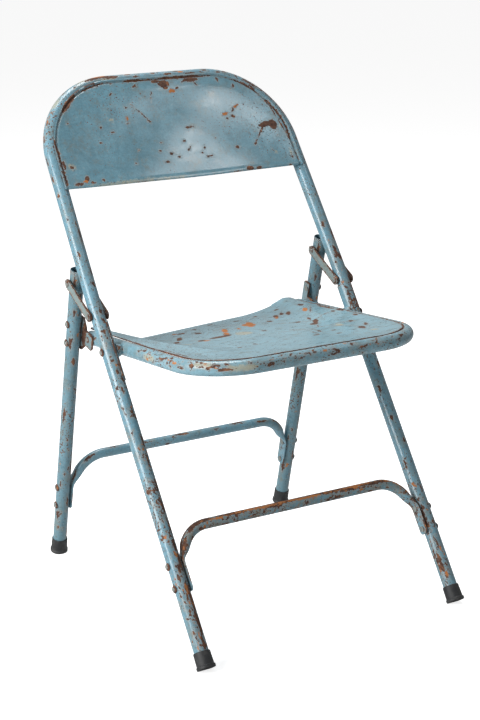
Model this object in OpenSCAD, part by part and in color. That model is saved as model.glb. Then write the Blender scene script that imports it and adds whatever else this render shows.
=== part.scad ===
// Folding steel chair with tubular legs, a pressed seat pan and a sheet backrest.
// Millimetres. X runs across the chair, +Y to the rear, +Z up; the floor is Z = 0.
// The origin lies on the floor, under the middle of the chair's overall width and length.
// One bent tube makes the front legs and the back. The seat, the rear legs and two pairs
// of links hang on it, so that the chair folds flat when the front of the seat is lifted.

/* [Back frame tube] */
// outer diameter of the leg, back and seat tube
tube_d = 22.2; // [19:0.1:28]
// wall thickness of that tube
tube_wall = 1.2; // [1:0.1:2.5]
// lean of the back frame from the vertical, in degrees
frame_lean = 36.3; // [30:0.1:42]
// half the distance between the centrelines of the front legs
leg_half = 221; // [180:1:280]
// length of the frame from the foot to the centreline of the top bar
back_length = 934.5; // [820:0.5:1100]
// bend radius of the two top corners
arch_r = 130; // [80:1:170]
// distance up the leg where the back begins to narrow
taper_start = 572; // [565:1:640]
// inward lean of the back above that place, in degrees
taper_angle = 1.4; // [0:0.1:3]

/* [Rear legs] */
// lean of the rear legs from the vertical, in degrees
rear_lean = 12.6; // [8:0.1:18]
// distance from the front feet to the rear feet
rear_foot_y = 501.6; // [440:0.1:560]
// length of a rear leg from the foot to its open top
rear_length = 514.2; // [480:0.1:620]
// distance up the rear leg to the upper link pivot
rear_link_s = 492; // [460:0.5:560]
// how much closer together the rear feet stand on each side
rear_toe_in = 4.6; // [0:0.1:10]

/* [Seat] */
// distance up the front leg to the seat pivot
seat_pivot_s = 489; // [440:0.5:540]
// slope of the seat down to the rear, in degrees
seat_tilt = 5.75; // [2:0.05:10]
// half the distance between the centrelines of the side rails
seat_half = 191; // [150:1:240]
// distance from the seat pivot forward to the centreline of the front rail
seat_front = 242; // [180:1:300]
// bend radius of the front corners of the seat rail
seat_corner_r = 87; // [50:1:120]
// distance from the seat pivot back to the rear leg pivot
seat_rear_pivot = 107.2; // [90:0.1:130]
// length of the side rails behind the rear leg pivot
rail_tail = 14; // [11:0.5:25]
// distance from the seat pivot back to the rear edge of the pan
pan_rear = 139; // [115:1:160]
// thickness of the pan sheet
pan_t = 1.2; // [1:0.1:2.5]
// height of the flat border of the pan above the centre of the rail
pan_z = 8; // [5:0.1:9]
// depth of the dish at the rear edge of the pan
dish_depth = 20; // [8:0.5:30]
// length of the dish from the rear edge to where it fades out
dish_length = 318; // [200:1:340]
// half width of the flat bottom of the dish
dish_flat = 85; // [40:1:110]
// half width of the dish at the rear edge
dish_half = 171; // [120:1:175]

/* [Backrest] */
// thickness of the backrest sheet
panel_t = 1; // [0.8:0.1:2]
// distance up the frame to the lower edge of the backrest
panel_low = 752.5; // [752:0.5:820]
// how far the sheet stops inside the centreline of the tube
panel_inset = 1.5; // [0:0.1:6]
// diameter of the hem rolled along the lower edge
hem_d = 3.6; // [2:0.1:6]

/* [Leg braces] */
// outer diameter of the brace tube
brace_d = 16; // [12:0.1:20]
// wall thickness of the brace tube
brace_wall = 1.3; // [0.8:0.1:2]
// bend radius of the brace corners, on the centreline
brace_r = 48.5; // [30:0.5:60]
// angle of each corner that stays round before the end is flattened
brace_bend = 65; // [40:1:80]
// distance up the front legs to the front brace bar
front_brace_s = 203.9; // [160:0.1:260]
// distance up the rear legs to the rear brace bar
rear_brace_s = 174.7; // [140:0.1:240]
// distance from the bar down to the upper rivet
brace_rivet_drop = 50; // [44:0.5:70]
// distance between the two rivets of a brace end
brace_rivet_pitch = 33.5; // [24:0.5:45]
// thickness of the flattened brace end
brace_flat_t = 3.2; // [2.6:0.1:5]
// width of the flattened brace end
brace_flat_w = 20; // [16:0.5:24]

/* [Folding joints] */
// thickness of the link plates
link_t = 2.5; // [2:0.1:4]
// width of the link plates
link_w = 15; // [12:0.5:16]
// space between a link plate and the tube beside it
link_gap = 2.2; // [1.8:0.1:3.5]
// space between the front and rear legs when the chair is folded
fold_gap = 5.2; // [4.8:0.1:8]
// thickness of the saddle that stiffens the front leg at the seat pivot
saddle_t = 1.3; // [0.8:0.1:1.4]
// length of the saddle along the leg
saddle_len = 97; // [70:1:100]
// radius of the boss pressed up in the saddle
boss_r = 9; // [7:0.5:9.5]
// thickness of the rear leg brackets
bracket_t = 2; // [1.5:0.1:3]
// height of the rear leg brackets
bracket_h = 56; // [48:1:64]
// distance between the two rivets of a bracket
bracket_pitch = 32; // [24:0.5:38]
// height of the bracket's middle above the rear leg pivot
bracket_up = 6; // [0:0.5:12]
// height of the ear that reaches the seat rail
ear_h = 26; // [20:1:30]
// distance from the rear leg pivot to the front edge of the ear
ear_reach = 17; // [12:0.5:22]

/* [Rivets] */
// diameter of the pivot rivets
pivot_d = 8; // [6:0.1:9]
// diameter of the fixed rivets
fixed_d = 6; // [4:0.1:7]
// diameter of the large round heads
head_d = 12; // [10:0.5:14]
// height of the large round heads
head_h = 3.6; // [2.5:0.1:4.5]
// diameter of the small heads on the links
small_head_d = 10.5; // [9:0.5:12]
// height of the small heads
small_head_h = 2.6; // [1.5:0.1:3.5]

/* [Ferrules] */
// outer diameter of the rubber ferrule
ferrule_d = 25.4; // [23:0.1:32]
// height of the rubber ferrule
ferrule_h = 25; // [18:0.5:40]
// diameter of the thick ring at the bottom
ferrule_ring_d = 28.6; // [26:0.1:38]
// height of that ring
ferrule_ring_h = 5; // [3:0.5:8]
// thickness of rubber under the tube
ferrule_floor = 5; // [3:0.5:8]
// depth that wear has taken off the front ferrules
front_wear = 3.2; // [1.5:0.1:4]
// depth that wear has taken off the rear ferrules
rear_wear = 1; // [0.5:0.1:2]

/* [Clearances] */
// radial running clearance of a pivot in its bore
run_fit = 0.05; // [0.02:0.01:0.1]
// space between faces that turn past each other
side_gap = 0.3; // [0.2:0.05:0.6]
// space between fixed pieces that lie against each other
seat_gap = 0.15; // [0.05:0.05:0.3]

/* [Hidden] */
$fn = 64;
tube_r = tube_d / 2;
brace_tube_r = brace_d / 2;
pivot_r = pivot_d / 2;
fixed_r = fixed_d / 2;
shoulder_r = pivot_r + 2;
root = 0.5;
outside = leg_half + tube_r;
inside = leg_half - tube_r;
front_z = ferrule_ring_d / 2 * sin(frame_lean) - front_wear;
rear_z = ferrule_ring_d / 2 * sin(rear_lean) - rear_wear;
toe_angle = asin(rear_toe_in / rear_length);

// side view points are [y, z]
main_dir = [sin(frame_lean), cos(frame_lean)];
main_back = [cos(frame_lean), -sin(frame_lean)];
rear_dir = [-sin(rear_lean), cos(rear_lean)];
rear_front = [-cos(rear_lean), -sin(rear_lean)];
ferrule_edge = 0.8;
front_reach = ferrule_ring_d / 2 * cos(frame_lean) - ferrule_edge * sin(frame_lean);
mid_y = (back_length * sin(frame_lean) + tube_r - front_reach) / 2;
front_foot = [-mid_y, front_z];
rear_foot = [rear_foot_y - mid_y, rear_z];
seat_pivot = front_foot + seat_pivot_s * main_dir;
rear_pivot = seat_pivot + seat_rear_pivot * [cos(seat_tilt), -sin(seat_tilt)];
link_top = rear_foot + rear_link_s * rear_dir;
ear_s = (rear_pivot - rear_foot) * rear_dir;
ear_out = (rear_pivot - rear_foot) * rear_front;

// The folded chair fixes the lower link pivot: there the rear leg lies behind the front leg,
// parallel to it, and the link has the same length as in the open chair.
fold_offset = tube_d + fold_gap;
open_s = (link_top - front_foot) * main_dir;
open_q = (link_top - front_foot) * main_back;
folded_ear_q = fold_offset - ear_out;
folded_ear_s = seat_pivot_s - sqrt(seat_rear_pivot * seat_rear_pivot - folded_ear_q * folded_ear_q);
folded_s = folded_ear_s + rear_link_s - ear_s;
link_pivot_s = (open_s * open_s + open_q * open_q - folded_s * folded_s - fold_offset * fold_offset)
    / (2 * (open_s - folded_s));
link_pivot = front_foot + link_pivot_s * main_dir;
link_len = norm(link_top - link_pivot);
link_angle = atan2(link_top[1] - link_pivot[1], link_top[0] - link_pivot[0]);

link_out = outside + link_gap;
link_in = inside - link_gap - link_t;
rail_outer = seat_half + tube_r;
rail_inner = seat_half - tube_r;
boss_face = rail_outer + side_gap;
ear_in = rail_outer + side_gap;
ear_outer = ear_in + bracket_t;

arch_y = back_length - arch_r;
side_run = (arch_y - taper_start + arch_r * sin(taper_angle)) / cos(taper_angle);
arch_x = leg_half - side_run * sin(taper_angle) - arch_r * cos(taper_angle);
bend_step = 0.1;
bend_lap = 1;

brace_flat_top = brace_rivet_drop - 6;
brace_flat_end = brace_rivet_drop + brace_rivet_pitch + 8;
brace_corner = 6;
front_brace_side = inside - seat_gap;
rear_brace_side = inside - seat_gap - (rear_length - rear_brace_s + brace_flat_end) * tan(toe_angle);

pan_edge = sqrt(tube_r * tube_r - (pan_z - pan_t) * (pan_z - pan_t)) + seat_gap;
pan_half = seat_half - pan_edge;
pan_corner = 9;
dish_angle = atan(dish_depth / dish_length);
dish_side = dish_half - dish_flat;
dish_r = (dish_side * dish_side + dish_depth * dish_depth) / (2 * dish_depth);

bracket_mid = ear_s + bracket_up;
bracket_low = bracket_mid - bracket_h / 2;
bracket_outer = inside - (rear_length - bracket_low) * tan(toe_angle) - seat_gap;
bracket_back = -9;
joggle_start = 7;
joggle_end = 12;

// ---------------------------------------------------------------- frames of reference

// plane of the back frame: x across, y up along the legs, z to the front
module in_back_plane() {
    translate([0, front_foot[0], front_foot[1]])
        rotate([90 - frame_lean, 0, 0])
            children();
}

// plane of the rear legs: x across, y up along the legs, z to the front
module in_rear_plane() {
    translate([0, rear_foot[0], rear_foot[1]])
        rotate([90 + rear_lean, 0, 0])
            children();
}

// plane of the seat rail: x across, y to the rear of the seat pivot, z up
module in_seat_plane() {
    translate([0, seat_pivot[0], seat_pivot[1]])
        rotate([-seat_tilt, 0, 0])
            children();
}

// one leg's own axis in the rear plane: the foot stands closer in than the top
module on_rear_leg(side) {
    translate([side * leg_half, rear_length, 0])
        rotate([0, 0, -side * toe_angle])
            translate([0, -rear_length, 0])
                children();
}

// the -x side is left, as someone in front of the chair sees it
module on_side(side) {
    if (side < 0) mirror([1, 0, 0]) children();
    else children();
}

// cylinder along +x from x0 to x1
module bar_x(x0, x1, r) {
    translate([x0, 0, 0]) rotate([0, 90, 0]) cylinder(h = x1 - x0, r = r);
}

// solid of revolution about the x axis; its outline is drawn as [radius, x]
module turned() {
    rotate([0, 90, 0]) rotate_extrude() children();
}

// outline of a rod from x0 to x1
module rod(x0, x1, r) {
    translate([0, x0]) square([r, x1 - x0]);
}

// outline of a round head of diameter d and height h on the plane x0, facing +x or -x
module head(x0, facing, d, h) {
    ball_r = (d * d / 4 + h * h) / (2 * h);
    intersection() {
        translate([0, x0 + facing * (h - ball_r)]) circle(r = ball_r);
        rod(facing > 0 ? x0 : x0 - h - 1, facing > 0 ? x0 + h + 1 : x0, d / 2 + 1);
    }
}

// ---------------------------------------------------------------- tubes

// Solid of the back frame's path with radius r, down to the height low. The tube is drawn
// slightly thinner in each bend, so the next stretch starts a little inside the one before.
module back_path(r, low) {
    for (side = [-1, 1]) on_side(side) {
        translate([leg_half, low, 0])
            rotate([-90, 0, 0])
                cylinder(h = taper_start - low, r = r);
        translate([leg_half, taper_start, 0])
            rotate([0, 0, taper_angle]) {
                translate([0, -bend_lap, 0])
                    rotate([-90, 0, 0])
                        cylinder(h = side_run + bend_lap, r = r - bend_step);
                translate([-arch_r, side_run, 0])
                    rotate_extrude(angle = 90 - taper_angle)
                        translate([arch_r, 0])
                            circle(r = r - bend_step);
            }
    }
    translate([0, back_length, 0])
        bar_x(-arch_x - bend_lap, arch_x + bend_lap, r - 2 * bend_step);
}

// flat shape inside the arch above the panel's lower edge, inset from the centreline
module arch_outline(inset) {
    r = arch_r - inset;
    low_x = leg_half - (panel_low - taper_start) * tan(taper_angle) - inset;
    side_x = arch_x + r * cos(taper_angle);
    side_y = arch_y + r * sin(taper_angle);
    polygon([
        [-low_x, panel_low],
        [low_x, panel_low],
        [side_x, side_y],
        [arch_x, side_y],
        [arch_x, arch_y + r],
        [-arch_x, arch_y + r],
        [-arch_x, side_y],
        [-side_x, side_y]
    ]);
    for (side = [-1, 1]) on_side(side)
        translate([arch_x, arch_y]) intersection() {
            circle(r = r, $fn = 128);
            square([arch_r, arch_r]);
        }
}

module back_frame() {
    color("LightSteelBlue") in_back_plane() difference() {
        back_path(tube_r, ferrule_floor);
        back_path(tube_r - tube_wall, ferrule_floor - 1);
        for (side = [-1, 1]) on_side(side) {
            translate([0, seat_pivot_s, 0]) bar_x(inside - 1, outside + 1, pivot_r + run_fit);
            translate([0, link_pivot_s, 0]) bar_x(inside - 1, outside + 1, pivot_r + run_fit);
            for (drop = [0, brace_rivet_pitch])
                translate([0, front_brace_s - brace_rivet_drop - drop, 0])
                    bar_x(inside - 1, outside + 1, fixed_r + run_fit);
        }
    }
}

// sheet lapped over the front of the tube, its lower edge rolled back into a hem
module back_panel() {
    hem_x = leg_half - (panel_low - taper_start) * tan(taper_angle) - tube_r - 1;
    color("LightSteelBlue") in_back_plane() {
        translate([0, 0, tube_r + seat_gap])
            linear_extrude(height = panel_t)
                arch_outline(panel_inset);
        translate([0, panel_low + hem_d / 2 - 0.4, tube_r + panel_t - hem_d / 2])
            bar_x(-hem_x, hem_x, hem_d / 2);
    }
}

// ---------------------------------------------------------------- braces and rear legs

// round part of a brace, with the bar at y = 0; its sides reach out to side_x
module brace_path(r, side_x) {
    bend_x = side_x - brace_tube_r - brace_r;
    bar_x(-bend_x, bend_x, r);
    for (side = [-1, 1]) on_side(side)
        translate([bend_x, -brace_r, 0])
            rotate_extrude(angle = brace_bend, start = 90 - brace_bend)
                translate([brace_r, 0])
                    circle(r = r);
}

// flattened end of a brace, which lies against the inner side of the leg
module brace_end(side_x) {
    tab = brace_flat_end - brace_flat_top;
    flat_x = side_x - brace_flat_t;
    hull() {
        translate([side_x - brace_tube_r - brace_r, -brace_r, 0])
            rotate([0, 0, 90 - brace_bend])
                translate([brace_r, -0.2, 0])
                    rotate([-90, 0, 0])
                        cylinder(h = 1, r = brace_tube_r - 0.05, $fn = 32);
        translate([flat_x, -brace_flat_top - 1, -brace_flat_w / 2])
            cube([brace_flat_t, 1, brace_flat_w]);
    }
    translate([flat_x, -brace_flat_end, 0])
        rotate([90, 0, 90])
            linear_extrude(height = brace_flat_t) {
                translate([brace_corner, -brace_flat_w / 2])
                    square([tab - brace_corner, brace_flat_w]);
                translate([0, -brace_flat_w / 2 + brace_corner])
                    square([brace_corner, brace_flat_w - 2 * brace_corner]);
                for (edge = [-1, 1])
                    translate([brace_corner, edge * (brace_flat_w / 2 - brace_corner)])
                        circle(r = brace_corner);
            }
}

module brace(side_x) {
    difference() {
        union() {
            difference() {
                brace_path(brace_tube_r, side_x);
                brace_path(brace_tube_r - brace_wall, side_x);
            }
            for (side = [-1, 1]) on_side(side) brace_end(side_x);
        }
        for (side = [-1, 1]) on_side(side)
            for (drop = [0, brace_rivet_pitch])
                translate([0, -brace_rivet_drop - drop, 0])
                    bar_x(side_x - brace_tube_r, side_x + 1, fixed_r + run_fit);
    }
}

module front_brace() {
    color("SteelBlue") in_back_plane()
        translate([0, front_brace_s, 0])
            brace(front_brace_side);
}

module rear_brace() {
    color("SteelBlue") in_rear_plane()
        translate([0, rear_brace_s, 0])
            brace(rear_brace_side);
}

// hollow leg with an open top
module rear_leg(side) {
    color("LightSteelBlue") in_rear_plane() difference() {
        on_rear_leg(side) rotate([-90, 0, 0]) difference() {
            translate([0, 0, ferrule_floor]) cylinder(h = rear_length - ferrule_floor, r = tube_r);
            translate([0, 0, ferrule_floor - 1]) cylinder(h = rear_length, r = tube_r - tube_wall);
        }
        on_side(side) {
            for (end = [-1, 1])
                translate([0, bracket_mid + end * bracket_pitch / 2, 0])
                    bar_x(inside - 8, outside + 3, fixed_r + run_fit);
            for (drop = [0, brace_rivet_pitch])
                translate([0, rear_brace_s - brace_rivet_drop - drop, 0])
                    bar_x(inside - 8, outside + 3, fixed_r + run_fit);
        }
    }
}

module rear_leg_left() { rear_leg(-1); }
module rear_leg_right() { rear_leg(1); }

// bent strip: a plate riveted to the leg, stepped inwards to an ear beside the seat rail
module bracket_strip() {
    ear_front = ear_out + ear_reach;
    translate([0, bracket_low + bracket_h, 0])
        rotate([90, 0, 0])
            linear_extrude(height = bracket_h)
                polygon([
                    [bracket_outer, bracket_back],
                    [bracket_outer, joggle_start],
                    [ear_outer, joggle_end],
                    [ear_outer, ear_front],
                    [ear_in, ear_front],
                    [ear_in, joggle_end - bracket_t / 2],
                    [bracket_outer - bracket_t, joggle_start - bracket_t / 2],
                    [bracket_outer - bracket_t, bracket_back]
                ]);
}

// side view of the bracket, as [along the leg, towards the front]
module bracket_outline() {
    ear_front = ear_out + ear_reach;
    corner = 5;
    plate_end = bracket_h / 2 - corner;
    translate([bracket_mid - plate_end, bracket_back])
        square([2 * plate_end, joggle_start - bracket_back]);
    for (end = [-1, 1])
        translate([bracket_mid + end * plate_end, bracket_back + corner])
            circle(r = corner);
    translate([bracket_low, bracket_back + corner])
        square([bracket_h, joggle_start - bracket_back - corner]);
    polygon([
        [bracket_low, joggle_start],
        [bracket_low + bracket_h, joggle_start],
        [ear_s + ear_h / 2, joggle_end],
        [ear_s + ear_h / 2, ear_front - corner],
        [ear_s + ear_h / 2 - corner, ear_front],
        [ear_s - ear_h / 2 + corner, ear_front],
        [ear_s - ear_h / 2, ear_front - corner],
        [ear_s - ear_h / 2, joggle_end]
    ]);
}

module leg_bracket(side) {
    color("SlateGray") in_rear_plane() on_side(side) difference() {
        intersection() {
            bracket_strip();
            translate([ear_in - 1, 0, 0])
                rotate([90, 0, 90])
                    linear_extrude(height = bracket_outer - ear_in + 2)
                        bracket_outline();
        }
        for (end = [-1, 1])
            translate([0, bracket_mid + end * bracket_pitch / 2, 0])
                bar_x(ear_in - 1, inside, fixed_r + run_fit);
        translate([0, ear_s, ear_out]) bar_x(ear_in - 1, inside, pivot_r + run_fit);
    }
}

module leg_bracket_left() { leg_bracket(-1); }
module leg_bracket_right() { leg_bracket(1); }

// ---------------------------------------------------------------- seat

module seat_path(r) {
    side_y = -(seat_front - seat_corner_r);
    side_len = seat_rear_pivot + rail_tail - side_y;
    for (side = [-1, 1]) on_side(side) {
        translate([seat_half, side_y, 0]) rotate([-90, 0, 0]) cylinder(h = side_len, r = r);
        translate([seat_half - seat_corner_r, side_y, 0])
            rotate_extrude(angle = 90, start = 270)
                translate([seat_corner_r, 0])
                    circle(r = r);
    }
    translate([0, -seat_front, 0])
        bar_x(-seat_half + seat_corner_r, seat_half - seat_corner_r, r);
}

// bent tube round the front and the sides of the seat
module seat_frame() {
    color("LightSteelBlue") in_seat_plane() difference() {
        seat_path(tube_r);
        seat_path(tube_r - tube_wall);
        for (side = [-1, 1]) on_side(side) {
            bar_x(rail_inner - 1, rail_outer + 1, pivot_r + run_fit);
            translate([0, seat_rear_pivot, 0])
                bar_x(rail_inner - 1, rail_outer + 1, pivot_r + run_fit);
            translate([0, seat_rear_pivot + rail_tail - 2, 0])
                rotate([-90, 0, 0])
                    translate([seat_half, 0, 0])
                        cylinder(h = 3, r = tube_r - tube_wall);
        }
    }
}

// outline of the pan, which fills the inside of the rail
module pan_outline() {
    front_r = seat_corner_r - pan_edge;
    front_y = -(seat_front - pan_edge);
    translate([-pan_half, front_y + front_r])
        square([2 * pan_half, pan_rear - pan_corner - front_y - front_r]);
    translate([-pan_half + front_r, front_y])
        square([2 * (pan_half - front_r), front_r]);
    translate([-pan_half + pan_corner, pan_rear - pan_corner])
        square([2 * (pan_half - pan_corner), pan_corner]);
    for (side = [-1, 1]) on_side(side) {
        translate([pan_half - front_r, front_y + front_r]) circle(r = front_r, $fn = 128);
        translate([pan_half - pan_corner, pan_rear - pan_corner]) circle(r = pan_corner);
    }
}

// trough that is deepest at the rear edge and rises to the border towards the front
module dish(grow) {
    run = dish_length / cos(dish_angle) + 60;
    translate([0, pan_rear, pan_z - dish_depth])
        rotate([-dish_angle, 0, 0])
            translate([0, 40, 0])
                rotate([90, 0, 0])
                    linear_extrude(height = run) {
                        translate([-dish_flat, -grow]) square([2 * dish_flat, 80]);
                        for (side = [-1, 1])
                            translate([side * dish_flat, dish_r])
                                circle(r = dish_r + grow, $fn = 180);
                    }
}

// dished sheet welded into the rail
module seat_pan() {
    color("LightBlue") in_seat_plane() difference() {
        union() {
            translate([0, 0, pan_z - pan_t]) linear_extrude(height = pan_t) pan_outline();
            intersection() {
                dish(pan_t);
                translate([0, 0, pan_z - dish_depth - 10])
                    linear_extrude(height = dish_depth + 10)
                        pan_outline();
            }
        }
        dish(0);
    }
}

// ---------------------------------------------------------------- folding joints

// half sleeve round the inner side of the front leg, with a boss that spaces the seat rail
module hinge_saddle(side) {
    bore_r = tube_r + seat_gap;
    wrap = 66;
    end_r = 9.5;
    boss_h = inside - seat_gap - boss_face;
    color("SlateGray") in_back_plane() on_side(side) difference() {
        union() {
            intersection() {
                translate([leg_half, seat_pivot_s - saddle_len / 2 - 1, 0])
                    rotate([-90, 0, 0])
                        rotate_extrude(angle = 2 * wrap, start = 180 - wrap)
                            translate([bore_r, 0])
                                square([saddle_t, saddle_len + 2]);
                translate([boss_face, seat_pivot_s, 0])
                    rotate([0, 90, 0])
                        linear_extrude(height = leg_half - boss_face) {
                            translate([-tube_r - 2, end_r - saddle_len / 2])
                                square([2 * tube_r + 4, saddle_len - 2 * end_r]);
                            translate([end_r - tube_r, -saddle_len / 2])
                                square([2 * (tube_r - end_r), saddle_len]);
                            for (x = [-1, 1], y = [-1, 1])
                                translate([x * (tube_r - end_r), y * (saddle_len / 2 - end_r)])
                                    circle(r = end_r);
                        }
            }
            translate([boss_face, seat_pivot_s, 0])
                rotate([0, 90, 0])
                    cylinder(h = boss_h, r1 = boss_r, r2 = boss_r + 2);
        }
        translate([leg_half, seat_pivot_s - saddle_len / 2 - 2, 0])
            rotate([-90, 0, 0])
                cylinder(h = saddle_len + 4, r = bore_r);
        translate([0, seat_pivot_s, 0]) bar_x(boss_face - 1, inside + 1, pivot_r + run_fit);
    }
}

module hinge_saddle_left() { hinge_saddle(-1); }
module hinge_saddle_right() { hinge_saddle(1); }

// flat bar with round ends from the front leg up to the rear leg
module link(side, x0) {
    color("SlateGray") on_side(side)
        translate([x0, link_pivot[0], link_pivot[1]])
            rotate([link_angle, 0, 0])
                difference() {
                    rotate([90, 0, 90])
                        linear_extrude(height = link_t) {
                            translate([0, -link_w / 2]) square([link_len, link_w]);
                            circle(r = link_w / 2);
                            translate([link_len, 0]) circle(r = link_w / 2);
                        }
                    bar_x(-1, link_t + 1, pivot_r + run_fit);
                    translate([0, link_len, 0]) bar_x(-1, link_t + 1, pivot_r + run_fit);
                }
}

module outer_link_left() { link(-1, link_out); }
module outer_link_right() { link(1, link_out); }
module inner_link_left() { link(-1, link_in); }
module inner_link_right() { link(1, link_in); }

// ---------------------------------------------------------------- rivets

// pivot rivet with one head on the plane x_out and one inside the seat rail's inner side
module rail_rivet(x_out, d, h) {
    x_in = rail_inner - side_gap;
    turned() {
        rod(x_in - root, x_out + root, pivot_r);
        head(x_out, 1, d, h);
        head(x_in, -1, small_head_d, small_head_h);
    }
}

// rivet through the front leg, the saddle and the seat rail
module seat_pivot_rivet(side) {
    color("DimGray") on_side(side)
        translate([0, seat_pivot[0], seat_pivot[1]])
            rail_rivet(outside + seat_gap, head_d, head_h);
}

module seat_pivot_rivet_left() { seat_pivot_rivet(-1); }
module seat_pivot_rivet_right() { seat_pivot_rivet(1); }

// rivet through the ear of the bracket and the seat rail
module leg_pivot_rivet(side) {
    color("DimGray") on_side(side)
        translate([0, rear_pivot[0], rear_pivot[1]])
            rail_rivet(ear_outer, small_head_d, small_head_h);
}

module leg_pivot_rivet_left() { leg_pivot_rivet(-1); }
module leg_pivot_rivet_right() { leg_pivot_rivet(1); }

// shouldered rivet through both links and the front leg
module link_lower_rivet(side) {
    x_in = link_in - side_gap;
    x_out = link_out + link_t + side_gap;
    color("DimGray") on_side(side)
        translate([0, link_pivot[0], link_pivot[1]])
            turned() {
                rod(x_in - root, x_out + root, pivot_r);
                rod(outside + seat_gap, link_out - side_gap, shoulder_r);
                rod(link_in + link_t + side_gap, inside - seat_gap, shoulder_r);
                head(x_out, 1, small_head_d, small_head_h);
                head(x_in, -1, small_head_d, small_head_h);
            }
}

module link_lower_rivet_left() { link_lower_rivet(-1); }
module link_lower_rivet_right() { link_lower_rivet(1); }

// two short shouldered rivets that hold the links beside the rear leg
module link_upper_rivets(side) {
    x_out = link_out + link_t;
    leg_inside = inside - (rear_length - rear_link_s) * tan(toe_angle) - 2 * side_gap;
    color("DimGray") on_side(side)
        translate([0, link_top[0], link_top[1]]) {
            turned() {
                rod(outside + side_gap, link_out, shoulder_r);
                rod(outside + side_gap, x_out + root, pivot_r);
                head(x_out, 1, small_head_d, small_head_h);
            }
            turned() {
                rod(link_in + link_t, leg_inside, shoulder_r);
                rod(link_in - root, leg_inside, pivot_r);
                head(link_in, -1, small_head_d, small_head_h);
            }
        }
}

module link_upper_rivets_left() { link_upper_rivets(-1); }
module link_upper_rivets_right() { link_upper_rivets(1); }

// fixed rivet with a round outer head and a flat inner head
module fixed_rivet(x_in, x_out) {
    turned() {
        rod(x_in - 1, x_out + root, fixed_r);
        head(x_out, 1, head_d, head_h);
        rod(x_in - 1, x_in, fixed_r + 1.5);
    }
}

module front_brace_rivets() {
    color("DimGray") in_back_plane()
        for (side = [-1, 1], drop = [0, brace_rivet_pitch]) on_side(side)
            translate([0, front_brace_s - brace_rivet_drop - drop, 0])
                fixed_rivet(front_brace_side - brace_flat_t, outside + seat_gap);
}

module rear_brace_rivets() {
    color("DimGray") in_rear_plane()
        for (side = [-1, 1], drop = [0, brace_rivet_pitch]) on_side(side) {
            s = rear_brace_s - brace_rivet_drop - drop;
            leg_side = outside + seat_gap - (rear_length - s) * tan(toe_angle);
            translate([0, s, 0]) fixed_rivet(rear_brace_side - brace_flat_t, leg_side);
        }
}

module bracket_rivets() {
    color("DimGray") in_rear_plane()
        for (side = [-1, 1], end = [-1, 1]) on_side(side) {
            s = bracket_mid + end * bracket_pitch / 2;
            leg_side = outside + seat_gap - (rear_length - s) * tan(toe_angle);
            translate([0, s, 0]) fixed_rivet(bracket_outer - bracket_t, leg_side);
        }
}

// ---------------------------------------------------------------- ferrules

// rubber cup pushed over the end of a leg, with a thick ring at the floor
module ferrule() {
    ring_r = ferrule_ring_d / 2;
    cup_r = ferrule_d / 2;
    edge = ferrule_edge;
    rotate([-90, 0, 0])
        rotate_extrude()
            polygon([
                [0, 0],
                [ring_r - edge, 0],
                [ring_r, edge],
                [ring_r, ferrule_ring_h - edge],
                [ring_r - edge, ferrule_ring_h],
                [cup_r + 0.4, ferrule_ring_h + edge],
                [cup_r, ferrule_h - edge],
                [cup_r - edge, ferrule_h],
                [tube_r + run_fit, ferrule_h],
                [tube_r + run_fit, ferrule_floor],
                [0, ferrule_floor]
            ]);
}

// the floor has worn each ferrule to a flat
module worn_flat() {
    difference() {
        children();
        translate([-leg_half - ferrule_ring_d, front_foot[0] - ferrule_ring_d, -ferrule_h])
            cube([2 * (leg_half + ferrule_ring_d), rear_foot_y + 2 * ferrule_ring_d, ferrule_h]);
    }
}

module front_ferrule(side) {
    color("DimGray") worn_flat() in_back_plane() translate([side * leg_half, 0, 0]) ferrule();
}

module rear_ferrule(side) {
    color("DimGray") worn_flat() in_rear_plane() on_rear_leg(side) ferrule();
}

module ferrule_front_left() { front_ferrule(-1); }
module ferrule_front_right() { front_ferrule(1); }
module ferrule_rear_left() { rear_ferrule(-1); }
module ferrule_rear_right() { rear_ferrule(1); }

back_frame();
back_panel();
front_brace();
hinge_saddle_left();
hinge_saddle_right();
seat_frame();
seat_pan();
rear_leg_left();
rear_leg_right();
rear_brace();
leg_bracket_left();
leg_bracket_right();
outer_link_left();
outer_link_right();
inner_link_left();
inner_link_right();
seat_pivot_rivet_left();
seat_pivot_rivet_right();
leg_pivot_rivet_left();
leg_pivot_rivet_right();
link_lower_rivet_left();
link_lower_rivet_right();
link_upper_rivets_left();
link_upper_rivets_right();
front_brace_rivets();
rear_brace_rivets();
bracket_rivets();
ferrule_front_left();
ferrule_front_right();
ferrule_rear_left();
ferrule_rear_right();
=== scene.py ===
import math

import bpy
import numpy as np
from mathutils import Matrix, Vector


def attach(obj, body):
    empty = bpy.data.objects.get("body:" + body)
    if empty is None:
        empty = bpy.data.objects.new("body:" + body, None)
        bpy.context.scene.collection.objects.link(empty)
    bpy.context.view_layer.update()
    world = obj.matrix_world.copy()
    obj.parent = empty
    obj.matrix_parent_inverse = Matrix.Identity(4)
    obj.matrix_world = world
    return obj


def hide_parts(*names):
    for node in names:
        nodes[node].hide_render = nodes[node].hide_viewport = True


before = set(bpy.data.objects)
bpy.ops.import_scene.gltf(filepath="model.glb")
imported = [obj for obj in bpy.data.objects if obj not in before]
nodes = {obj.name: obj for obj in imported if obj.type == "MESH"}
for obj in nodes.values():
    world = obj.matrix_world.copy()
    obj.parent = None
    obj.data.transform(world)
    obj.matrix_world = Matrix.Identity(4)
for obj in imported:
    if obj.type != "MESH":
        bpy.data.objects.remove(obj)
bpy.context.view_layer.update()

# ------------------------------------------------------------------ Main frame tube
# One length of 22 mm steel tube bent into both front legs and the arch of the back.
# It is brush painted in pale dusty blue; rust comes up through the paint at the bends,
# at the feet and beside the hinge plates.

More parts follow.
